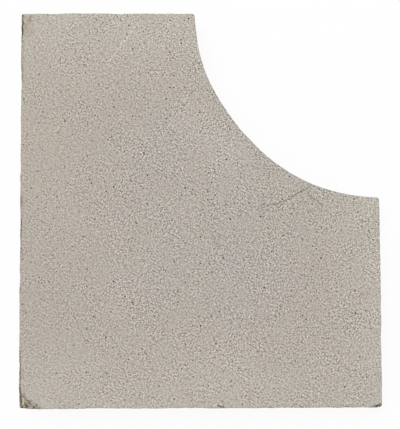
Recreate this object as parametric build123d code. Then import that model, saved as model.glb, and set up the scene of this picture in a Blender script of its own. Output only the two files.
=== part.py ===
from build123d import *
import os

# Stove side brick: one flat refractory slab that lines a side wall of the firebox.
# Its upper front corner is cut away by a concave sweep. Both broad faces are alike,
# so the same brick turned over lines the opposite side of the stove.
# The brick lies on its wall face, with the fire face up. As it is fitted, X runs from
# the rear edge to the front edge and Y from the foot to the top edge. Z runs through
# the thickness. The origin is on the wall face, below the middle of the outline's box.

# Driving dimensions, in millimetres
brick_width = 200.0  # rear edge to front edge
brick_height = 220.0  # foot to top edge
brick_thickness = 25.0  # wall face to fire face
sweep_radius = 108.0  # concave cut-away at the upper front corner
sweep_past_front = 5.2  # centre of the sweep, beyond the front edge
sweep_past_top = 4.1  # centre of the sweep, beyond the top edge
tip_radius = 2.0  # rounded tips where the sweep runs out into the top and front edges
corner_radius = 1.8  # the three square corners, seen from the face
arris_radius = 0.8  # softened arrises round both broad faces


def brick_outline():
    """The brick seen from its fire face: a rectangle less the sweep, with every corner rounded."""
    front_edge = brick_width / 2
    top_edge = brick_height / 2
    sweep_centre = Pos(front_edge + sweep_past_front, top_edge + sweep_past_top)
    slab = RectangleRounded(brick_width, brick_height, corner_radius)
    slab -= sweep_centre * Circle(sweep_radius)
    sweep_edge = slab.edges().filter_by(GeomType.CIRCLE).sort_by(SortBy.RADIUS)[-1]
    return fillet(sweep_edge.vertices(), tip_radius)


def side_brick():
    """The whole brick: its outline carried through the thickness, with both faces' arrises softened."""
    brick = extrude(brick_outline(), brick_thickness)
    broad_faces = brick.faces().filter_by(Axis.Z)
    return fillet(broad_faces.edges(), arris_radius)


os.makedirs("parts", exist_ok=True)
export_step(side_brick(), "parts/side_brick.step")
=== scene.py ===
import math
import random
from itertools import product

import bmesh
import bpy
from mathutils import Matrix, Vector, noise


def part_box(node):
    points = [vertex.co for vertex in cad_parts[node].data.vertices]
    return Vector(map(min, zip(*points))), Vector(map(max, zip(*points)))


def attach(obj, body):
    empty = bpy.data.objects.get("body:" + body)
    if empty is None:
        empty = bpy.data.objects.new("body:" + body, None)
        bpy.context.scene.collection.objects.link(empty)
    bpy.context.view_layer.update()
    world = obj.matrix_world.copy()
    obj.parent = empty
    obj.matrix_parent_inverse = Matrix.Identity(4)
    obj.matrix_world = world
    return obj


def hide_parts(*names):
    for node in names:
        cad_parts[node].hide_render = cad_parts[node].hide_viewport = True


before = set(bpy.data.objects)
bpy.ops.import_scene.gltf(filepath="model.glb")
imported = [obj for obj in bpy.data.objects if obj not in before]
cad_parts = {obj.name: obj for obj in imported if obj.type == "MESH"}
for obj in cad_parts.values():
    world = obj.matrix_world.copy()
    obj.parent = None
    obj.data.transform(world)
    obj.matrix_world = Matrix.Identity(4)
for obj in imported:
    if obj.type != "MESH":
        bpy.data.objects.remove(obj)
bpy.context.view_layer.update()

mm = 0.001
low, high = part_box("side_brick")

# the moulded slab, sizes as in the solid
slab = {
    "seed": 11,
    "sweepRadius": 108 * mm,
    "sweepPastFront": 5.2 * mm,
    "sweepPastTop": 4.1 * mm,
    "tipRadius": 2.0 * mm,
    "cornerRadius": 1.8 * mm,
    "arrisRadius": 0.8 * mm,
    "borderInsets": (0.40 * mm, 0.45 * mm),
    "edgeStep": 0.75 * mm,  # point spacing along the outline
    "sideStep": 1.4 * mm,  # ring spacing up the sides
    "fireStep": 1.2 * mm,  # mesh of the fire face
    "wallStep": 1.7 * mm,  # mesh of the wall face
    "meshShake": 0.28,  # how far face points stray, in steps
    "rimSlack": 0.3,  # share of that for the points next to the border
    "gridMargin": 2.7 * mm,  # where the face mesh stops short of the outline
    "relief": 0.09 * mm,  # undulation of the moulded faces
    "swellLengths": (14 * mm, 3.1 * mm),
}

sweepCentre = Vector((high.x + slab["sweepPastFront"], high.y + slab["sweepPastTop"], low.z))
rng = random.Random(slab["seed"])


def tipCentres():
    # centres of the two rounded tips, where the sweep meets the front and the top edge
    t, reach = slab["tipRadius"], slab["sweepRadius"] + slab["tipRadius"]
    frontX = high.x - t
    frontY = sweepCentre.y - math.sqrt(reach**2 - (sweepCentre.x - frontX) ** 2)
    neckY = high.y - t
    neckX = sweepCentre.x - math.sqrt(reach**2 - (sweepCentre.y - neckY) ** 2)
    return Vector((frontX, frontY, low.z)), Vector((neckX, neckY, low.z))


def spunArc(bm, centre, radius, start, turn):
    # one point carried round a centre leaves a row of edges
    steps = max(4, round(abs(turn) * radius / slab["edgeStep"]))
    first = bm.verts.new(centre + radius * Vector((math.cos(start), math.sin(start), 0)))
    spun = bmesh.ops.spin(bm, geom=[first], cent=centre, axis=(0, 0, 1), angle=turn, steps=steps)
    last = [g for g in spun["geom_last"] if isinstance(g, bmesh.types.BMVert)][0]
    return first, last


def drawOutline(bm):
    r, t = slab["cornerRadius"], slab["tipRadius"]
    frontTip, neck = tipCentres()
    frontTurn = math.atan2(sweepCentre.y - frontTip.y, sweepCentre.x - frontTip.x)
    neckTurn = math.atan2(sweepCentre.y - neck.y, sweepCentre.x - neck.x)
    quarter = math.pi / 2
    arcs = [
        (Vector((low.x + r, low.y + r, low.z)), r, 2 * quarter, quarter),
        (Vector((high.x - r, low.y + r, low.z)), r, 3 * quarter, quarter),
        (frontTip, t, 0.0, frontTurn),
        (sweepCentre, slab["sweepRadius"], frontTurn + math.pi, neckTurn - frontTurn),
        (neck, t, neckTurn, quarter - neckTurn),
        (Vector((low.x + r, high.y - r, low.z)), r, quarter, quarter),
    ]
    ends = [spunArc(bm, *arc) for arc in arcs]
    for (_, last), (first, _) in zip(ends, ends[1:] + ends[:1]):
        if (first.co - last.co).length > slab["edgeStep"]:
            bm.edges.new((last, first))
    bmesh.ops.remove_doubles(bm, verts=bm.verts[:], dist=0.01 * mm)
    straight = max(bm.edges, key=lambda e: e.calc_length())
    while straight.calc_length() > 2 * slab["edgeStep"]:
        cuts = round(straight.calc_length() / slab["edgeStep"]) - 1
        bmesh.ops.subdivide_edges(bm, edges=[straight], cuts=cuts)
        straight = max(bm.edges, key=lambda e: e.calc_length())
    bmesh.ops.contextual_create(bm, geom=bm.edges[:])


def broadFaces(bm):
    return sorted((f for f in bm.faces if len(f.verts) > 100), key=lambda f: f.calc_center_median().z)


def raiseSides(bm):
    cap = broadFaces(bm)[0]
    if cap.normal.z > 0:
        cap.normal_flip()
    rings = round((high.z - low.z) / slab["sideStep"])
    for _ in range(rings):
        grown = bmesh.ops.extrude_face_region(bm, geom=[cap])
        cap = [g for g in grown["geom"] if isinstance(g, bmesh.types.BMFace)][0]
        bmesh.ops.translate(bm, verts=cap.verts[:], vec=(0, 0, (high.z - low.z) / rings))
    bmesh.ops.delete(bm, geom=broadFaces(bm)[1:-1], context="FACES_ONLY")  # extrude leaves one at each ring
    bmesh.ops.recalc_face_normals(bm, faces=bm.faces[:])
    arrises = [e for f in broadFaces(bm) for e in f.edges]
    bmesh.ops.bevel(bm, geom=arrises, offset=slab["arrisRadius"], offset_type="OFFSET", segments=3,
                    profile=0.5, affect="EDGES", material=-1)
    for inset in slab["borderInsets"]:
        for face in broadFaces(bm):
            bmesh.ops.inset_region(bm, faces=[face], thickness=inset, use_even_offset=True, use_boundary=True)


def meshFace(bm, face, step, mark):
    # a shaken grid fills the middle of a broad face, and triangles join it to the border
    area = bm.verts.layers.int["area"]
    up = face.normal.z
    z = face.calc_center_median().z
    border = face.edges[:]
    bmesh.ops.delete(bm, geom=[face], context="FACES_ONLY")
    margin = slab["gridMargin"]
    width, height = high.x - low.x - 2 * margin, high.y - low.y - 2 * margin
    middle = (low + high) / 2
    place = Matrix.Translation((middle.x, middle.y, z)) @ Matrix.Diagonal((width, height, 1, 1))
    columns, rows = round(width / step), round(height / step)
    grid = bmesh.ops.create_grid(bm, x_segments=columns, y_segments=rows, size=0.5, matrix=place)["verts"]
    clear = slab["sweepRadius"] + margin
    cutAway = [v for v in grid if (v.co.xy - sweepCentre.xy).length < clear]
    kept = [v for v in grid if (v.co.xy - sweepCentre.xy).length >= clear]
    bmesh.ops.delete(bm, geom=cutAway, context="VERTS")
    loose = [v for v in kept if not v.link_faces]
    bmesh.ops.delete(bm, geom=loose, context="VERTS")
    kept = [v for v in kept if v.is_valid]
    if up < 0:
        bmesh.ops.reverse_faces(bm, faces=list(dict.fromkeys(f for v in kept for f in v.link_faces)))
    rim = [e for e in dict.fromkeys(e for v in kept for e in v.link_edges) if e.is_boundary]
    shake = slab["meshShake"] * step
    for v in kept:
        slack = slab["rimSlack"] if v.is_boundary else 1.0
        v.co.x += slack * shake * rng.uniform(-1, 1)
        v.co.y += slack * shake * rng.uniform(-1, 1)
        v[area] = 0 if v.is_boundary else mark
    bmesh.ops.triangle_fill(bm, edges=border + rim, use_beauty=True, normal=(0, 0, 1 if up > 0 else -1))


# how the brick has worn: along is the place on that edge, from its middle
wear = {
    "wander": 0.5 * mm,  # how far the sides stray in from the true outline
    "wanderLength": 13 * mm,
    "wanderDepth": 30 * mm,  # the same, down through the thickness
    "wanderFade": 6 * mm,  # how far in from an edge that reaches
    "sweepWander": 0.35,  # share of it along the sweep
    "hollows": [  # where the sweep is worn hollow: degrees round its centre, half span, depth
        (199.0, 14.0, 0.7 * mm),
        (245.5, 25.0, 1.1 * mm),
    ],
    "arrisReach": 4 * mm,  # no arris is cut deeper than this
    "plain": 0.42 * mm,  # cut taken off every arris
    "ripple": 0.16 * mm,
    "rippleLength": 2.4 * mm,
    "nick": 2.2 * mm,
    "nickLength": 9 * mm,
    "nickFrom": 0.36,  # nicks where the noise passes this
    "fireChips": [  # edge, along, half length, cut
        ("rear", 102 * mm, 8.5 * mm, 1.6 * mm),
        ("rear", 76 * mm, 6.0 * mm, 0.9 * mm),
        ("rear", 4.5 * mm, 3.0 * mm, 1.1 * mm),
        ("rear", -10 * mm, 6.5 * mm, 1.2 * mm),
        ("rear", -24 * mm, 4.0 * mm, 0.9 * mm),
        ("rear", -44.5 * mm, 2.2 * mm, 0.9 * mm),
        ("rear", -93 * mm, 16 * mm, 2.2 * mm),
        ("foot", 11.5 * mm, 3.2 * mm, 1.3 * mm),
        ("foot", -50 * mm, 3.6 * mm, 1.3 * mm),
        ("foot", -45.4 * mm, 1.6 * mm, 0.8 * mm),
        ("foot", 38 * mm, 2.0 * mm, 0.9 * mm),
        ("foot", 55 * mm, 2.5 * mm, 1.0 * mm),
        ("foot", 69.4 * mm, 2.4 * mm, 0.9 * mm),
        ("foot", 80 * mm, 3.0 * mm, 1.2 * mm),
        ("front", -52 * mm, 4.0 * mm, 0.9 * mm),
    ],
    "chipMargin": 1 * mm,  # finer mesh this far round a chip
    "flakes": [  # line where a corner broke away, step down at it, fall towards the corner, roughness
        (((-99.8, -99.0), (-89.6, -109.9)), 0.55 * mm, 0.26, 0.55 * mm),
        (((99.8, -106.9), (91.5, -109.9)), 0.60 * mm, 0.35, 0.30 * mm),
    ],
    "flakeReach": 8 * mm,  # how far down the sides a flake pulls
    "flakeLip": 0.5 * mm,
    "flakeJag": [(0.9 * mm, 2.2 * mm), (0.5 * mm, 0.9 * mm)],  # how far its line strays, over what length
    "hackleLengths": (1.9 * mm, 0.8 * mm),
    "bareAt": 0.7 * mm,  # broken stone shows in full where this much is gone
    "brokenFrom": 0.4,  # share of that from which a face counts as broken
}


def nearestEdge(p):
    # name, distance in from the edge, the way in, and the place along it
    out = p.xy - sweepCentre.xy
    edges = (
        ("rear", p.x - low.x, Vector((1, 0, 0)), p.y),
        ("foot", p.y - low.y, Vector((0, 1, 0)), p.x),
        ("front", high.x - p.x, Vector((-1, 0, 0)), p.y),
        ("top", high.y - p.y, Vector((0, -1, 0)), p.x),
        ("sweep", out.length - slab["sweepRadius"], out.normalized().to_3d(),
         slab["sweepRadius"] * math.atan2(-out.x, -out.y)),
    )
    return min(edges, key=lambda e: e[1])


# keeps the noise of one edge apart from the next, and the wall face's from the fire face's
edgeShift = {"rear": 0.0, "foot": 31.0, "front": 67.0, "top": 101.0, "sweep": 143.0}
wallShift = 401.0
partNames = ("fire", "wall") + tuple(edgeShift)


def smoothStep(t):
    t = min(1.0, max(0.0, t))
    return t * t * (3 - 2 * t)


def pastLine(p, line):
    # how far a point lies beyond a flake's line, towards the corner
    a, b = (Vector(q) * mm for q in line)
    across = Vector((b.y - a.y, a.x - b.x)).normalized()
    if across.dot(a) < 0:
        across = -across
    return (p.xy - a).dot(across)


def flakeDrop(p, flake):
    line, step, fall, rough = flake
    jag = sum(size * noise.noise(p / length) for size, length in wear["flakeJag"])
    inside = pastLine(p, line) + jag
    coarse, fine = wear["hackleLengths"]
    hackle = noise.noise(p / coarse + Vector((5, 0, 0))) + 0.5 * noise.noise(p / fine)
    return max(0.0, smoothStep(inside / wear["flakeLip"]) * (step + rough * hackle) + fall * max(0.0, inside))


def arrisCut(edge, along, onFire):
    lane = edgeShift[edge] + (0.0 if onFire else wallShift)
    ripple = noise.noise(Vector((along / wear["rippleLength"], lane, 0.3)))
    fine = noise.noise(Vector((along / wear["rippleLength"] * 2.7, lane, 7.1)))
    cut = wear["plain"] + wear["ripple"] * (ripple + 0.6 * fine)
    nick = noise.noise(Vector((along / wear["nickLength"], lane, 3.9))) - wear["nickFrom"]
    if nick > 0:
        cut += wear["nick"] * nick * (1 + 0.5 * fine)
    if onFire:
        for name, middle, half, depth in wear["fireChips"]:
            reach = 1 - ((along - middle) / half) ** 2
            if name == edge and reach > 0:
                cut = max(cut, depth * math.sqrt(reach) * (0.85 + 0.35 * ripple + 0.25 * fine))
    return cut


def sweepHollow(p):
    out = p.xy - sweepCentre.xy
    turn = math.degrees(math.atan2(out.y, out.x)) % 360
    return sum(depth * max(0.0, 1 - ((turn - middle) / half) ** 2) ** 2
               for middle, half, depth in wear["hollows"])


def nearChip(p):
    depth = high.z - p.z
    margin = wear["chipMargin"]
    if depth > wear["arrisReach"]:
        return False
    edge, inset, _, along = nearestEdge(p)
    for name, middle, half, cut in wear["fireChips"]:
        if name == edge and abs(along - middle) < half + margin and inset + depth < cut + 1.4 * margin:
            return True
    return any(pastLine(p, flake[0]) > -2 * margin for flake in wear["flakes"])


def refineChips(bm):
    # a finer mesh where pieces have broken away
    edges = [e for e in bm.edges if all(nearChip(v.co) for v in e.verts)]
    bmesh.ops.subdivide_edges(bm, edges=edges, cuts=1, use_grid_fill=True)
    bmesh.ops.triangulate(bm, faces=[f for f in bm.faces if 4 < len(f.verts) < 20])


def wearBody(bm):
    chipped = bm.verts.layers.float["chipped"]
    for v in bm.verts:
        p = v.co.copy()
        edge, inset, inward, along = nearestEdge(p)
        # gentle swell of the moulded faces, always inwards
        long, short = slab["swellLengths"]
        swell = 0.5 + 0.35 * noise.noise(p / long) + 0.3 * noise.noise(p / short)
        v.co -= v.normal * slab["relief"] * max(0.0, swell)
        # the sides stray a little from the true outline
        place = Vector((along / wear["wanderLength"], edgeShift[edge], p.z / wear["wanderDepth"]))
        stray = 0.5 + 0.8 * noise.noise(place) + 0.4 * noise.noise(place * 3.1)
        stray = wear["wander"] * max(0.0, stray)
        if edge == "sweep":
            stray = wear["sweepWander"] * stray + sweepHollow(p)
        v.co += inward * stray * (1 - smoothStep(inset / wear["wanderFade"]))
        removed = 0.0
        for onFire in (True, False):
            depth = high.z - p.z if onFire else p.z - low.z
            if inset + depth < wear["arrisReach"]:
                cut = arrisCut(edge, along, onFire) - inset - depth
                if cut > 0:
                    v.co += (inward + Vector((0, 0, -1 if onFire else 1))) * cut / 2
                    removed = max(removed, cut)
        for flake in wear["flakes"]:
            share = 1 - (high.z - p.z) / wear["flakeReach"]
            if share > 0:
                drop = flakeDrop(p, flake) * share
                v.co.z -= drop
                removed = max(removed, drop * smoothStep(2 * share - 0.6))
        v[chipped] = min(1.0, removed / wear["bareAt"])


# pits left by air and burnt-out grains
pitAreas = {"fire": 1, "wall": 2, "side": 3}
pits = {
    "count": {"fire": 520, "wall": 300, "side": 240},
    "stretch": {"fire": 1.0, "wall": 1.2, "side": 0.75},
    "radius": (0.26 * mm, 0.56 * mm),
    "depth": (0.6, 1.1),  # in radii
    "ragged": (0.75, 1.2),  # how a mouth's radius varies round it
    "taper": (0.5, 0.7),  # width of the bottom, in mouths
    "lips": (0.15 * mm, 0.05 * mm),
    "apart": 3.6 * mm,
    "sideMargin": 3 * mm,  # pits in the sides stay this far from the arrises
}


def sinkPits(bm, mark, count, stretch):
    # four faces melt into one, which is inset twice and sunk
    pitted = bm.verts.layers.float["pitted"]
    sunk = bm.faces.layers.int["sunk"]
    area = bm.verts.layers.int["area"]
    chipped = bm.verts.layers.float["chipped"]
    verts = [v for v in bm.verts if v[area] == mark and v[chipped] < 0.05]
    verts.sort(key=lambda v: v.co[:])  # by place, so that every run digs the same pits
    rng.shuffle(verts)
    taken = set()
    spots = []
    cell = pits["apart"]
    for v in verts:
        key = tuple(round(c / cell) for c in v.co)
        near = {tuple(a + b for a, b in zip(key, shift)) for shift in product((-1, 0, 1), repeat=3)}
        if len(v.link_faces) != 4 or any(len(f.verts) != 4 for f in v.link_faces) or near & taken:
            continue
        taken.add(key)
        spots.append(v)
        if len(spots) == count:
            break
    bmesh.ops.dissolve_verts(bm, verts=spots)
    mouths = [f for f in bm.faces if len(f.verts) == 8 and not f[sunk]]
    mouths.sort(key=lambda f: f.calc_center_median()[:])
    bmesh.ops.inset_individual(bm, faces=mouths, thickness=pits["lips"][0])
    sizes = []
    for f in mouths:
        radius = stretch * rng.triangular(*pits["radius"], pits["radius"][0])
        middle = f.calc_center_median()
        for v in f.verts:
            v.co = middle + (v.co - middle).normalized() * radius * rng.uniform(*pits["ragged"])
        for e in f.edges:
            e.smooth = False
        sizes.append((middle, f.normal.copy(), radius))
    bmesh.ops.inset_individual(bm, faces=mouths, thickness=pits["lips"][1])
    for f, (middle, out, radius) in zip(mouths, sizes):
        depth = radius * rng.uniform(*pits["depth"])
        f[sunk] = 1
        for v in f.verts:
            v.co = middle + (v.co - middle) * rng.uniform(*pits["taper"]) - out * depth
            v[pitted] = 1.0
    return len(mouths)


def sortFaces(bm):
    # which part of the brick each face belongs to, before wear tilts any of them
    part = bm.faces.layers.int["part"]
    for f in bm.faces:
        if abs(f.normal.z) > 0.6:
            name = "fire" if f.normal.z > 0 else "wall"
        else:
            name = nearestEdge(f.calc_center_median())[0]
        f[part] = partNames.index(name)


# where each part lies on the map for the texture bake, and its scale, in maps to the metre
bakeMap = {
    "fire": (0.01, 0.385, 2.75),
    "wall": (0.99, 0.55, 2.0),  # mirrored, so it runs back from here
    "rear": (0.01, 0.01, 2.45),
    "sweep": (0.57, 0.01, 2.45),
    "foot": (0.01, 0.08, 2.45),
    "front": (0.53, 0.08, 2.45),
    "top": (0.01, 0.15, 2.45),
}
sweepStart = 0.04  # angle at which the sweep's strip begins


def mapPlace(p, name):
    if name in ("fire", "wall"):
        return (p.x - low.x) * (1 if name == "fire" else -1), p.y - low.y
    if name == "sweep":
        turn = math.atan2(sweepCentre.x - p.x, sweepCentre.y - p.y)
        return slab["sweepRadius"] * (turn - sweepStart), p.z - low.z
    return p.y - low.y if name in ("rear", "front") else p.x - low.x, p.z - low.z


def layOutMap(bm):
    # broad faces laid flat, and each side as its own strip
    part = bm.faces.layers.int["part"]
    uv = bm.loops.layers.uv.new("OFBake")
    for f in bm.faces:
        name = partNames[f[part]]
        u, v, scale = bakeMap[name]
        for loop in f.loops:
            across, up = mapPlace(loop.vert.co, name)
            loop[uv].uv = (u + across * scale, v + up * scale)


# marks on the fire face, in mm: start and end (x, y, depth below the face), width, strength
marks = {
    "scratch": [
        ((31.3, -0.4, 0), (39.8, 2.0, 0), 0.5, 0.35),
        ((34.5, -3.1, 0), (37.3, -1.0, 0), 0.45, 0.3),
        ((39.8, 1.8, 0), (49.3, 5.2, 0), 0.5, 0.6),
        ((49.3, 5.2, 0), (52.9, 7.9, 0), 0.5, 0.55),
        ((52.9, 7.9, 0), (61.0, 11.9, 0), 0.5, 0.5),
        ((59.3, 8.3, 0), (68.0, 1.5, 0), 0.45, 0.62),
        ((66.1, -0.1, 0), (62.1, -2.7, 0), 0.45, 0.2),
        ((7.2, -15.4, 0), (10.6, -23.0, 0), 0.45, 0.4),
        ((9.0, -107.9, 0.0), (10.8, -108.8, 0.2), 0.42, 1.2),
        ((10.8, -108.8, 0.2), (13.4, -109.6, 0.5), 0.42, 1.2),
        ((12.1, -107.9, 0.0), (12.1, -109.1, 0.2), 0.4, 0.8),
        ((11.9, -105.8, 0.0), (11.8, -106.6, 0.0), 0.45, 0.8),
        ((96.6, -108.6, 0.8), (99.4, -108.3, 1.0), 0.45, 0.9),
    ],
    "scuff": [
        ((-34.4, 104.8, 0), (-41.6, 94.9, 0), 0.65, 0.9),
        ((-41.6, 94.9, 0), (-50.9, 82.2, 0), 0.65, 0.8),
        ((-66.5, -103.5, 0), (-66.4, -109.0, 0), 0.6, 0.9),
        ((80.3, -107.1, 0), (80.6, -107.3, 0), 0.6, 1.0),
        ((7.7, -107.9, 0.2), (8.6, -107.6, 0.2), 0.7, 1.0),
        ((-52.4, -109.0, 0.4), (-48.3, -109.0, 0.4), 1.0, 0.9),
        ((11.3, -107.0, 0.2), (11.8, -108.0, 0.3), 0.5, 0.9),
    ],
    # dark along the broken rear arris and corners, set deeper below the face
    "chipDark": [
        ((-99.3, 108.6, 0.8), (-99.3, 98.0, 0.8), 1.5, 1.0),
        ((-99.4, 98.0, 0.8), (-99.4, 94.2, 0.8), 1.1, 0.9),
        ((-99.4, 80.0, 0.5), (-99.4, 77.8, 0.5), 0.9, 0.9),
        ((-99.4, 75.0, 0.5), (-99.4, 71.0, 0.5), 0.8, 0.7),
        ((-99.2, 6.4, 0.6), (-99.2, 2.8, 0.6), 1.2, 0.8),
        ((-99.2, -5.5, 0.6), (-99.2, -8.8, 0.6), 0.8, 0.8),
        ((-99.3, -11.8, 0.6), (-99.3, -14.8, 0.6), 1.0, 0.9),
        ((-99.4, -21.8, 0.6), (-99.4, -24.2, 0.6), 1.1, 1.0),
        ((-98.5, -26.8, 0.1), (-98.4, -27.4, 0.1), 0.6, 0.7),
        ((-99.3, -43.6, 0.5), (-99.3, -45.4, 0.5), 0.9, 0.8),
        ((-99.4, -78.0, 0.9), (-99.4, -98.5, 1.2), 1.0, 0.28),
        ((-99.4, -98.0, 1.4), (-99.2, -108.6, 2.0), 1.1, 0.8),
        ((-99.0, -90.0, 0.8), (-99.0, -90.8, 0.8), 0.8, 0.9),
        ((-98.9, -92.6, 0.8), (-98.9, -93.5, 0.8), 0.8, 0.8),
        ((-99.0, -98.6, 1.0), (-98.9, -99.4, 1.0), 0.9, 1.0),
        ((-98.8, -100.6, 1.1), (-98.8, -101.3, 1.1), 0.9, 1.0),
        ((-99.0, -102.4, 1.3), (-98.7, -105.2, 1.6), 1.1, 1.0),
        ((-98.4, -106.2, 1.6), (-98.2, -106.8, 1.7), 1.0, 1.0),
        ((-98.7, -107.6, 1.9), (-98.3, -108.6, 2.1), 1.1, 1.0),
        ((-96.2, -107.0, 1.4), (-95.7, -108.0, 1.6), 0.9, 1.0),
        ((-95.8, -108.8, 1.8), (-95.0, -109.3, 1.9), 1.0, 1.0),
        ((-93.9, -106.6, 0.8), (-92.4, -107.9, 0.9), 0.8, 0.9),
        ((-91.8, -108.7, 0.9), (-90.0, -109.5, 0.8), 0.9, 0.9),
        ((-98.6, -109.2, 2.2), (-92.5, -109.5, 1.6), 1.0, 0.7),
        ((37.5, -109.2, 0.4), (38.8, -109.5, 0.5), 0.8, 0.9),
        ((54.6, -108.6, 0.2), (55.3, -109.4, 0.5), 0.8, 1.0),
        ((68.4, -109.2, 0.4), (70.4, -109.3, 0.4), 0.8, 0.7),
        ((79.2, -109.2, 0.4), (80.8, -109.2, 0.4), 0.8, 1.0),
        ((-45.8, -109.1, 0.4), (-45.0, -109.3, 0.4), 0.8, 0.9),
        ((-50.8, -109.8, 1.0), (-48.0, -109.8, 1.0), 0.6, 0.8),
        ((92.2, -109.1, 0.4), (95.7, -109.4, 0.7), 0.7, 0.6),
        ((96.4, -108.9, 0.9), (99.6, -108.3, 1.0), 0.8, 1.0),
    ],
    "stain": [
        ((-98.6, 107.0, 0), (-96.6, 98.5, 0), 4.6, 0.26),
        ((-98.2, 106.6, 0), (-95.0, 105.4, 0), 2.2, 0.36),
        ((-94.6, 108.4, 0), (-95.3, 105.0, 0), 1.0, 0.85),
        ((-98.0, 103.6, 0), (-96.9, 100.0, 0), 1.0, 0.85),
        ((-97.3, -88.0, 0.1), (-96.6, -101.5, 0.3), 0.65, 0.7),
    ],
    # olive-brown darkening along the rear arris and round the broken corner, below the face
    "edgeDarkening": [
        ((-99.0, -79.0, 0.5), (-98.9, -99.0, 0.8), 1.6, 0.42),
        ((-98.6, -99.0, 0.8), (-97.6, -108.8, 1.8), 2.6, 0.5),
        ((-96.0, -104.6, 0.6), (-94.4, -108.9, 1.2), 1.6, 0.58),
        ((-94.2, -105.6, 0.4), (-88.4, -109.4, 0.7), 1.7, 0.68),
        ((-99.2, 93.6, 0.6), (-99.2, 70.0, 0.6), 1.3, 0.35),
        ((-99.2, 8.0, 0.6), (-99.2, -26.0, 0.6), 1.3, 0.35),
    ],
    # painted light: paler strips on the upper part of the worn edges' chamfers
    "chamferLight": [
        ((-98.0, -79.0, 0.1), (-97.9, -94.1, 0.2), 1.0, 0.55),
        ((-97.9, -94.1, 0.2), (-97.6, -101.2, 0.5), 1.0, 0.75),
        ((-97.3, -104.4, 0.9), (-97.2, -107.2, 1.3), 0.8, 1.0),
        ((-94.7, -105.8, 0.7), (-94.0, -106.5, 0.8), 0.7, 0.9),
        ((-92.5, -106.4, 0.2), (-91.4, -107.2, 0.3), 0.8, 1.0),
        ((95.0, -109.7, 0.9), (99.2, -109.3, 1.3), 1.0, 0.9),
    ],
    # a cooler, greyer band over the middle of the face
    "coolBand": [
        ((20.0, 42.0, 0), (18.0, -46.0, 0), 30.0, 0.85),
        ((-20.0, 36.0, 0), (-14.0, -34.0, 0), 46.0, 0.42),
        ((48.0, -8.0, 0), (40.0, -44.0, 0), 20.0, 0.4),
    ],
    "olive": [
        ((62.0, 16.0, 0), (104.0, -8.0, 0), 40.0, 1.0),
        ((0.0, 104.0, 0), (14.0, 62.0, 0), 26.0, 0.7),
    ],
    "warmth": [
        ((-104.0, 114.0, 0), (-104.0, 30.0, 0), 70.0, 0.6),
        ((-104.0, 114.0, 0), (-40.0, 114.0, 0), 50.0, 0.7),
    ],
    # paler towards the top, foot and front edges of the face
    "paleBorder": [
        ((-104.0, 114.0, 0), (40.0, 114.0, 0), 60.0, 1.0),
        ((-104.0, -114.0, 0), (104.0, -114.0, 0), 60.0, 0.8),
        ((104.0, -114.0, 0), (104.0, 30.0, 0), 44.0, 1.1),
        ((-2.0, 52.0, 0), (26.0, 20.0, 0), 20.0, 0.5),
    ],
    "rubbed": [
        ((-104.0, 114.0, 0), (-104.0, -114.0, 0), 75.0, 1.0),
        ((-104.0, -114.0, 0), (-10.0, -114.0, 0), 45.0, 0.8),
        ((-10.0, -114.0, 0), (104.0, -114.0, 0), 40.0, 0.75),
        ((-62.0, 98.0, 0), (-38.0, 62.0, 0), 30.0, 0.8),
    ],
}
broadMarks = ("coolBand", "olive", "warmth", "paleBorder", "rubbed")
edgeMarks = ("chipDark", "edgeDarkening", "chamferLight")
markLines = {
    "seed": 11,
    "core": 0.35,  # share of a mark's width that is full
    "sideSquash": 0.6,  # marks run further down the sides than along the face
    "stray": 0.8 * mm,  # how far marks held on the mesh stray, over what length
    "strayLength": 1.9 * mm,
    "rimDepth": 6 * mm,  # edge marks are looked for in this rim
    "rimWidth": 9 * mm,
    "sideFade": 1.5 * mm,  # the sides are rubbed from this far below a face
    "wobble": 1.4 * mm,  # how far the shader's lines stray
    "wobbleFrequency": 520.0,
    "breakFrequency": 800.0,
    "broken": (0.3, 0.6, 0.55, 1.0),  # unevenness: noise from, to, strength from, to
    "ragged": (0.36, 0.56, 0.25, 1.0),
    "cloudFrequency": 40.0,
    "cloudy": (0.3, 0.7, 0.5, 1.0),
    "chipDarkCatch": (0.05, 0.4, 0.45, 1.0),  # the same for the dark of the chips, by how far the edge is broken
    "pitShade": (0.2, 1.0, 0.0, 0.6),  # and for the painted shade in the pits
}


def paintMarks(bm):
    # broad marks and those of the worn edges are held on the mesh, the fine lines are left to the shader
    layers = bm.verts.layers.float
    noise.seed_set(markLines["seed"])  # without it, marks stray differently on each run
    rim = [v for v in bm.verts
           if high.z - v.co.z < markLines["rimDepth"] and nearestEdge(v.co)[1] < markLines["rimWidth"]]
    for kind in broadMarks + edgeMarks:
        layer = layers[kind]
        core = 0.0 if kind in broadMarks else markLines["core"]
        lines = []
        for (ax, ay, aDepth), (bx, by, bDepth), width, strength in marks[kind]:
            start, end = Vector((ax, ay, 0)) * mm, Vector((bx, by, 0)) * mm
            za, zb = high.z - aDepth * mm, high.z - bDepth * mm
            lines.append((start, end - start, za, zb, width * mm, strength))
        for v in bm.verts if kind in broadMarks else rim:
            p = v.co + markLines["stray"] * noise.noise_vector(v.co / markLines["strayLength"])
            for start, run, za, zb, width, strength in lines:
                share = min(1.0, max(0.0, (p - start).xy.dot(run.xy) / run.length_squared))
                aside = p - start - run * share
                aside.z = markLines["sideSquash"] * (p.z - za - (zb - za) * share)
                mask = strength * smoothStep((width - aside.length) / (width * (1 - core)))
                v[layer] = max(v[layer], mask)
    for v in bm.verts:
        # the sides are rubbed all round, where they met their neighbours
        inside = min(high.z - v.co.z, v.co.z - low.z) / markLines["sideFade"]
        v[layers["rubbed"]] = max(v[layers["rubbed"]], smoothStep(inside))


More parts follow.
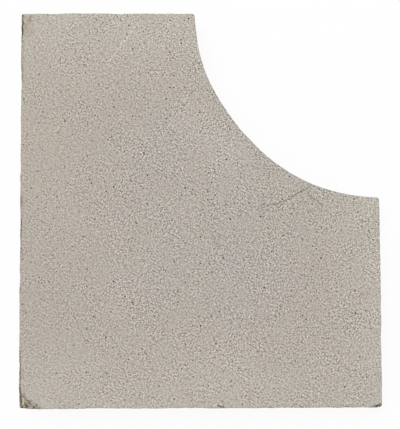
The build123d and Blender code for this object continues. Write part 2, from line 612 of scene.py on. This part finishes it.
def makeBrick():
    bm = bmesh.new()
    area = bm.verts.layers.int.new("area")
    for name in ("chipped", "pitted") + broadMarks + edgeMarks:
        bm.verts.layers.float.new(name)
    bm.faces.layers.int.new("sunk")
    bm.faces.layers.int.new("part")
    drawOutline(bm)
    raiseSides(bm)
    meshFace(bm, broadFaces(bm)[-1], slab["fireStep"], pitAreas["fire"])
    meshFace(bm, broadFaces(bm)[0], slab["wallStep"], pitAreas["wall"])
    bmesh.ops.recalc_face_normals(bm, faces=bm.faces[:])
    bm.normal_update()
    sortFaces(bm)
    print("slab blocked out:", len(bm.faces), "faces")
    refineChips(bm)
    bm.normal_update()
    wearBody(bm)
    bm.normal_update()
    for v in bm.verts:
        if low.z + pits["sideMargin"] < v.co.z < high.z - pits["sideMargin"]:
            v[area] = pitAreas["side"]
    done = sum(sinkPits(bm, mark, pits["count"][name], pits["stretch"][name])
               for name, mark in pitAreas.items())
    print("pits sunk:", done)
    bm.normal_update()
    paintMarks(bm)
    chipped = bm.verts.layers.float["chipped"]
    for f in bm.faces:
        broken = sum(v[chipped] for v in f.verts) / len(f.verts)
        f.smooth = broken < wear["brokenFrom"]
        f.material_index = 1 if broken > wear["brokenFrom"] else 0
    layOutMap(bm)
    mesh = bpy.data.meshes.new("sideBrick")
    bm.to_mesh(mesh)
    bm.free()
    piece = bpy.data.objects.new("sideBrick", mesh)
    bpy.context.scene.collection.objects.link(piece)
    return piece


def addNode(tree, kind, values=None, **settings):
    made = tree.nodes.new(kind)
    for name, value in settings.items():
        setattr(made, name, value)
    for name, value in (values or {}).items():
        if isinstance(value, bpy.types.NodeSocket):
            tree.links.new(value, made.inputs[name])
        else:
            made.inputs[name].default_value = value
    return made


def newGroup(name, inputs, outputs):
    tree = bpy.data.node_groups.new(name, "ShaderNodeTree")
    for way, sockets in (("INPUT", inputs), ("OUTPUT", outputs)):
        for label, kind in sockets.items():
            tree.interface.new_socket(label, in_out=way, socket_type="NodeSocket" + kind)
    return tree, tree.nodes.new("NodeGroupInput").outputs, tree.nodes.new("NodeGroupOutput").inputs


def mathNode(tree, operation, *values, clamp=False):
    made = addNode(tree, "ShaderNodeMath", dict(enumerate(values)), operation=operation, use_clamp=clamp)
    return made.outputs[0]


def noiseNode(tree, place, scale, detail, roughness=0.5, output="Fac"):
    values = {"Vector": place, "Scale": scale, "Detail": detail, "Roughness": roughness}
    return addNode(tree, "ShaderNodeTexNoise", values).outputs[output]


def ramp(tree, value, fromLow, fromHigh, toLow=0.0, toHigh=1.0, smooth=True):
    values = {"Value": value, "From Min": fromLow, "From Max": fromHigh, "To Min": toLow, "To Max": toHigh}
    kind = "SMOOTHSTEP" if smooth else "LINEAR"
    return addNode(tree, "ShaderNodeMapRange", values, interpolation_type=kind).outputs["Result"]


def blendColour(tree, kind, factor, a, b):
    values = {0: factor, 6: a, 7: b}  # the mix node's places for colours
    return addNode(tree, "ShaderNodeMix", values, data_type="RGBA", blend_type=kind).outputs[2]


def linear(r, g, b):
    # a colour as read off a screen, turned into what a shader takes
    return tuple(((c / 255 + 0.055) / 1.055) ** 2.4 for c in (r, g, b)) + (1.0,)


# the body of the brick: sizes of pores and pale grains are in cells of the pore pattern
sandBody = {
    "turn": 0.5,  # keeps rows of grains off the edges
    "patchFrequency": 95.0,
    "patchContrast": (0.75, 1.25),
    "poreSize": 0.34,
    "poreFloor": 0.45,  # share of a pore that is dark in full
    "poreDepth": 1.2,
    "rimReach": (1.9, 1.2),  # pale rim round a pore, in pores
    "rimPale": 0.12,
    "flintFrom": 0.82,  # cells past this hold a pale grain
    "flintSize": 0.31,
    "flintPale": 0.46,
}


def sandGrainGroup():
    # sandy refractory: tone of the grains, open pores, pale grains and the height of it all
    tree, given, out = newGroup(
        "sandGrain",
        {"Vector": "Vector", "Frequency": "Float", "Contrast": "Float", "Pore Frequency": "Float",
         "Pore Share": "Float"},
        {"Tone": "Float", "Pores": "Float", "Height": "Float"})
    place = given["Vector"]
    turned = addNode(tree, "ShaderNodeMapping",
                     {"Vector": place, "Rotation": (0, 0, sandBody["turn"])}).outputs[0]
    sand = noiseNode(tree, turned, given["Frequency"], 0.0)
    patches = noiseNode(tree, place, sandBody["patchFrequency"], 1.0)
    patches = ramp(tree, patches, 0.3, 0.7, *sandBody["patchContrast"])
    centred = mathNode(tree, "MULTIPLY", mathNode(tree, "SUBTRACT", sand, 0.5), patches)
    pore = addNode(tree, "ShaderNodeTexVoronoi", {"Vector": place, "Scale": given["Pore Frequency"],
                                                 "Randomness": 1.0})
    away = pore.outputs["Distance"]
    dice = addNode(tree, "ShaderNodeSeparateColor", {"Color": pore.outputs["Color"]})
    solidShare = mathNode(tree, "SUBTRACT", 1.0, given["Pore Share"])
    size = ramp(tree, dice.outputs["Red"], solidShare, 1.0, 0.0, sandBody["poreSize"], False)
    pores = ramp(tree, away, size, mathNode(tree, "MULTIPLY", size, sandBody["poreFloor"]))
    flint = ramp(tree, dice.outputs["Green"], sandBody["flintFrom"], 1.0, 0.0, sandBody["flintSize"], False)
    pale = ramp(tree, away, flint, mathNode(tree, "MULTIPLY", flint, 0.5))
    tone = mathNode(tree, "MULTIPLY_ADD", centred, given["Contrast"], 1.0)
    rimOuter, rimInner = (mathNode(tree, "MULTIPLY", size, reach) for reach in sandBody["rimReach"])
    rim = ramp(tree, away, rimOuter, rimInner)
    lift = mathNode(tree, "ADD", mathNode(tree, "MULTIPLY", pale, sandBody["flintPale"]),
                    mathNode(tree, "MULTIPLY", rim, sandBody["rimPale"]))
    tree.links.new(mathNode(tree, "ADD", tone, lift), out["Tone"])
    tree.links.new(pores, out["Pores"])
    sunk = mathNode(tree, "MULTIPLY", pores, -sandBody["poreDepth"])
    tree.links.new(mathNode(tree, "ADD", centred, sunk), out["Height"])
    return tree


# drift of colour from the firing
kiln = {
    "driftFrequency": 34.0,
    "mottleFrequency": 110.0,
    "greener": (0.987, 1.022, 0.982, 1),
    "redder": (1.013, 0.978, 1.018, 1),
}


def kilnTintGroup():
    # broad drift between the cool and the warm colour, with a faint mottle over it
    tree, given, out = newGroup(
        "kilnTint", {"Vector": "Vector", "Warm": "Color", "Cool": "Color"}, {"Color": "Color"})
    broad = noiseNode(tree, given["Vector"], kiln["driftFrequency"], 3.0, 0.6)
    share = ramp(tree, broad, 0.3, 0.7, smooth=False)
    colour = blendColour(tree, "MIX", share, given["Cool"], given["Warm"])
    fine = noiseNode(tree, given["Vector"], kiln["mottleFrequency"], 4.0, 0.75)
    share = ramp(tree, fine, 0.3, 0.7, smooth=False)
    mottle = blendColour(tree, "MIX", share, kiln["greener"], kiln["redder"])
    tree.links.new(blendColour(tree, "MULTIPLY", 1.0, colour, mottle), out["Color"])
    return tree


def strokeGroup():
    # a straight mark: full in its core, nothing beyond its width
    tree, given, out = newGroup(
        "stroke",
        {"Vector": "Vector", "Start": "Vector", "End": "Vector", "Width": "Float"},
        {"Mask": "Float"})

    def vectorNode(operation, a, b, output=0):
        return addNode(tree, "ShaderNodeVectorMath", {0: a, 1: b}, operation=operation).outputs[output]

    run = vectorNode("SUBTRACT", given["End"], given["Start"])
    away = vectorNode("SUBTRACT", given["Vector"], given["Start"])
    share = mathNode(tree, "DIVIDE", vectorNode("DOT_PRODUCT", away, run, "Value"),
                     vectorNode("DOT_PRODUCT", run, run, "Value"), clamp=True)
    foot = addNode(tree, "ShaderNodeVectorMath", {0: run, "Scale": share}, operation="SCALE").outputs[0]
    aside = vectorNode("SUBTRACT", away, foot)
    squashed = vectorNode("MULTIPLY", aside, (1, 1, markLines["sideSquash"]))
    gap = vectorNode("LENGTH", squashed, (0, 0, 0), "Value")
    core = mathNode(tree, "MULTIPLY", given["Width"], markLines["core"])
    tree.links.new(ramp(tree, gap, given["Width"], core), out["Mask"])
    return tree


def wearMarksGroup(stroke):
    # every kind of mark as its own mask, with uneven lines
    tree, given, out = newGroup("wearMarks", {"Vector": "Vector"}, dict.fromkeys(marks, "Float"))
    place = given["Vector"]
    wobble = noiseNode(tree, place, markLines["wobbleFrequency"], 1.0, output="Color")
    wobble = addNode(tree, "ShaderNodeVectorMath", {0: wobble, 1: (0.5,) * 3},
                     operation="SUBTRACT").outputs[0]
    shaken = addNode(tree, "ShaderNodeVectorMath", {0: wobble, 1: (markLines["wobble"],) * 3, 2: place},
                     operation="MULTIPLY_ADD").outputs[0]
    crumbly = noiseNode(tree, place, markLines["breakFrequency"], 1.0)
    broken = ramp(tree, crumbly, *markLines["broken"])
    ragged = ramp(tree, crumbly, *markLines["ragged"])
    cloudy = ramp(tree, noiseNode(tree, place, markLines["cloudFrequency"], 3.0), *markLines["cloudy"])
    for kind, strokes in marks.items():
        if kind in broadMarks + edgeMarks:
            total = addNode(tree, "ShaderNodeAttribute", attribute_name=kind).outputs["Fac"]
        else:
            total = None
            for start, end, width, strength in strokes:
                made = addNode(tree, "ShaderNodeGroup", {"Vector": shaken, "Width": width * mm},
                               node_tree=stroke)
                for name, (x, y, depth) in (("Start", start), ("End", end)):
                    made.inputs[name].default_value = (x * mm, y * mm, high.z - depth * mm)
                mask = mathNode(tree, "MULTIPLY", made.outputs["Mask"], strength)
                total = mask if total is None else mathNode(tree, "MAXIMUM", total, mask)
        uneven = cloudy if kind in broadMarks else ragged if kind == "chipDark" else broken
        tree.links.new(mathNode(tree, "MULTIPLY", total, uneven), out[kind])
    return tree


markColours = {
    "scratch": linear(104, 88, 76),
    "scuff": linear(206, 199, 188),
    "chipDark": linear(66, 57, 43),
    "stain": linear(153, 134, 112),
    "edgeDarkening": linear(126, 115, 91),
    "chamferLight": linear(206, 196, 179),
    "coolBand": linear(176.8, 171.4, 165.8),
    "olive": linear(179, 173.8, 163.2),
    "warmth": linear(183, 174, 160),
    "paleBorder": linear(189, 182, 172),
}
castFinish = {
    "warm": linear(182, 173.4, 163.8),
    "cool": linear(178, 170.2, 160.8),
    # dark of the pores and pits: painted shade
    "pore": linear(75, 68, 60),
    "grainFrequency": 1160.0,
    "contrast": 1.77,
    "rubbed": 0.6,  # contrast left where the face is rubbed
    "poreFrequency": 480.0,
    "poreShare": 0.3,
    "roughness": 0.93,
    "relief": 0.25 * mm,
}
brokenFinish = {
    "warm": linear(178, 169, 151),
    "cool": linear(158, 150, 134),
    # dark of the pores and pits: painted shade
    "pore": linear(84, 76, 65),
    "grainFrequency": 1150.0,
    "contrast": 2.0,
    "rubbed": 0.9,
    "poreFrequency": 420.0,
    "poreShare": 0.4,
    "roughness": 0.96,
    "relief": 0.4 * mm,
}


def brickMaterial(name, finish, grainGroup, tintGroup, marksGroup):
    material = bpy.data.materials.new(name)
    material.use_nodes = True
    tree = material.node_tree
    shader = tree.nodes["Principled BSDF"]
    place = addNode(tree, "ShaderNodeTexCoord").outputs["Object"]
    grainValues = {"Vector": place, "Frequency": finish["grainFrequency"], "Contrast": finish["contrast"],
                   "Pore Frequency": finish["poreFrequency"], "Pore Share": finish["poreShare"]}
    tintValues = {"Vector": place, "Warm": finish["warm"], "Cool": finish["cool"]}
    grain = addNode(tree, "ShaderNodeGroup", grainValues, node_tree=grainGroup).outputs
    tint = addNode(tree, "ShaderNodeGroup", tintValues, node_tree=tintGroup).outputs
    worn = addNode(tree, "ShaderNodeGroup", {"Vector": place}, node_tree=marksGroup).outputs
    colour = tint["Color"]
    # the chamfer light among these is painted light on the worn edges
    for kind in ("coolBand", "olive", "warmth", "paleBorder", "stain", "scuff", "edgeDarkening", "chamferLight"):
        colour = blendColour(tree, "MIX", worn[kind], colour, markColours[kind])
    sharp = ramp(tree, worn["rubbed"], 0.0, 1.0, 1.0, finish["rubbed"], False)
    tone = mathNode(tree, "MULTIPLY_ADD", mathNode(tree, "SUBTRACT", grain["Tone"], 1.0), sharp, 1.0)
    toned = addNode(tree, "ShaderNodeVectorMath", {0: colour, "Scale": tone}, operation="SCALE").outputs[0]
    # the open pores are painted dark, painted shade inside them, and the bump also sinks them
    pores = mathNode(tree, "MULTIPLY", grain["Pores"], sharp)
    colour = blendColour(tree, "MIX", pores, toned, finish["pore"])
    # the sunk pits are painted darker: painted shade inside them
    pitted = addNode(tree, "ShaderNodeAttribute", attribute_name="pitted").outputs["Fac"]
    colour = blendColour(tree, "MIX", ramp(tree, pitted, *markLines["pitShade"]), colour, finish["pore"])
    chipped = addNode(tree, "ShaderNodeAttribute", attribute_name="chipped").outputs["Fac"]
    # the chip dark shows only where an edge is broken, fuller the more is gone
    chipDark = mathNode(tree, "MULTIPLY", worn["chipDark"], ramp(tree, chipped, *markLines["chipDarkCatch"]))
    for kind, mask in (("scratch", worn["scratch"]), ("chipDark", chipDark)):
        colour = blendColour(tree, "MIX", mask, colour, markColours[kind])
    tree.links.new(colour, shader.inputs["Base Color"])
    rough = ramp(tree, grain["Pores"], 0.0, 1.0, finish["roughness"], 1.0)
    tree.links.new(rough, shader.inputs["Roughness"])
    height = mathNode(tree, "SUBTRACT", grain["Height"], worn["scratch"])
    bump = addNode(tree, "ShaderNodeBump", {"Strength": 1.0, "Distance": finish["relief"], "Height": height})
    tree.links.new(bump.outputs["Normal"], shader.inputs["Normal"])
    return material


brickPiece = makeBrick()
print("brick mesh:", len(brickPiece.data.polygons), "faces,",
      sum(len(p.vertices) - 2 for p in brickPiece.data.polygons), "triangles")
effects = (sandGrainGroup(), kilnTintGroup(), wearMarksGroup(strokeGroup()))
brickPiece.data.materials.append(brickMaterial("castBrick", castFinish, *effects))
brickPiece.data.materials.append(brickMaterial("brokenBrick", brokenFinish, *effects))
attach(brickPiece, "root")
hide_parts("side_brick")
print("brick finished")

# table, light and camera
studio = {
    "floorSize": 3.0,
    "floorWhite": 0.96,  # the floor's own colour, for light that it gives back
    "shadowShare": 0.10,  # how much of the floor's own shading the camera sees
    "skyStrength": 0.6,
    "lampSpot": (-0.35, 0.45, 1.75),
    "lampSize": 1.1,
    "lampPower": 15.3,
    "cameraSpot": (-7.743 * mm, -37.640 * mm, 585.126 * mm),
    "cameraTurn": (3.5084, -0.7611, -0.1686),  # degrees
    "lens": 85,
}


def plainlySeen(tree):
    # looked at straight, in a reflection or through something clear
    path = addNode(tree, "ShaderNodeLightPath").outputs
    seen = mathNode(tree, "MAXIMUM", path["Is Camera Ray"], path["Is Glossy Ray"])
    return mathNode(tree, "MAXIMUM", seen, path["Is Transmission Ray"])


def setStage():
    bm = bmesh.new()
    bmesh.ops.create_grid(bm, x_segments=1, y_segments=1, size=studio["floorSize"] / 2)
    bmesh.ops.translate(bm, verts=bm.verts[:], vec=(0, 0, low.z))
    mesh = bpy.data.meshes.new("studioFloor")
    bm.to_mesh(mesh)
    bm.free()
    floor = bpy.data.objects.new("studioFloor", mesh)
    bpy.context.scene.collection.objects.link(floor)
    paper = bpy.data.materials.new("studioPaper")
    paper.use_nodes = True
    tree = paper.node_tree
    tree.nodes.clear()
    white = studio["floorWhite"]
    matt = addNode(tree, "ShaderNodeBsdfDiffuse", {"Color": (white, white, white, 1)}).outputs[0]
    glow = addNode(tree, "ShaderNodeEmission", {"Color": (1, 1, 1, 1), "Strength": 1.0}).outputs[0]
    share = mathNode(tree, "MULTIPLY", plainlySeen(tree), 1 - studio["shadowShare"])
    mixed = addNode(tree, "ShaderNodeMixShader", {0: share, 1: matt, 2: glow}).outputs[0]
    addNode(tree, "ShaderNodeOutputMaterial", {"Surface": mixed})
    mesh.materials.append(paper)


def setLight():
    world = bpy.data.worlds.new("studioSky")
    bpy.context.scene.world = world
    world.use_nodes = True
    tree = world.node_tree
    tree.nodes.clear()
    sky, white = (addNode(tree, "ShaderNodeBackground",
                          {"Color": (1, 1, 1, 1), "Strength": strength}).outputs[0]
                  for strength in (studio["skyStrength"], 1.0))
    mixed = addNode(tree, "ShaderNodeMixShader", {0: plainlySeen(tree), 1: sky, 2: white}).outputs[0]
    addNode(tree, "ShaderNodeOutputWorld", {"Surface": mixed})
    lamp = bpy.data.lights.new("softBox", "AREA")
    lamp.shape = "SQUARE"
    lamp.size = studio["lampSize"]
    lamp.energy = studio["lampPower"]
    box = bpy.data.objects.new("softBox", lamp)
    box.location = studio["lampSpot"]
    box.rotation_euler = (-Vector(studio["lampSpot"])).to_track_quat("-Z", "Y").to_euler()
    bpy.context.scene.collection.objects.link(box)


def setCamera():
    camera = bpy.data.cameras.new("photoCamera")
    camera.lens = studio["lens"]
    camera.sensor_width = 36
    camera.clip_start = 0.01
    holder = bpy.data.objects.new("photoCamera", camera)
    holder.location = studio["cameraSpot"]
    holder.rotation_euler = [math.radians(a) for a in studio["cameraTurn"]]
    bpy.context.scene.collection.objects.link(holder)
    bpy.context.scene.camera = holder


setStage()
setLight()
setCamera()
bpy.context.scene.view_settings.view_transform = "Standard"
print("studio ready")
